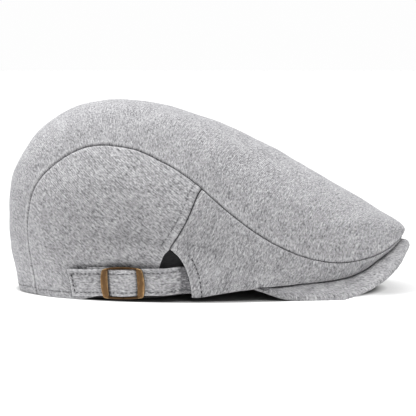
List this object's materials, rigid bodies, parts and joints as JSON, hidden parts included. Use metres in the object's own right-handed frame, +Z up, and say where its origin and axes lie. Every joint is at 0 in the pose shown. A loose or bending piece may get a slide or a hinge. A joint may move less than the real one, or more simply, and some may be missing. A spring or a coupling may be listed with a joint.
{
  "type": "flat cap",
  "caption": "Soft flat cap: a long top panel and side panels over a short curved peak, with a sweatband and an adjusting strap and slide buckle across a small side arch.",
  "frame": {"origin": "centre of the cap's box in plan, on the floor that its rim rests on", "axes": "+X forward, towards the peak; +Y to the wearer's left; +Z up"},
  "size_m": [0.279, 0.1752, 0.1313],
  "materials": {
    "cloth": "heather jersey knit, matt",
    "band": "dark woven band, matt",
    "brass": "antique brass, brown with worn bright edges"
  },
  "bodies": {
    "root": {"top_panel": "cloth", "rear_panel_right": "cloth", "rear_panel_left": "cloth", "front_panel_right": "cloth", "front_panel_left": "cloth", "brim": "cloth", "strap": "cloth", "sweatband": "band", "buckle": "brass"}
  },
  "joints": []
}
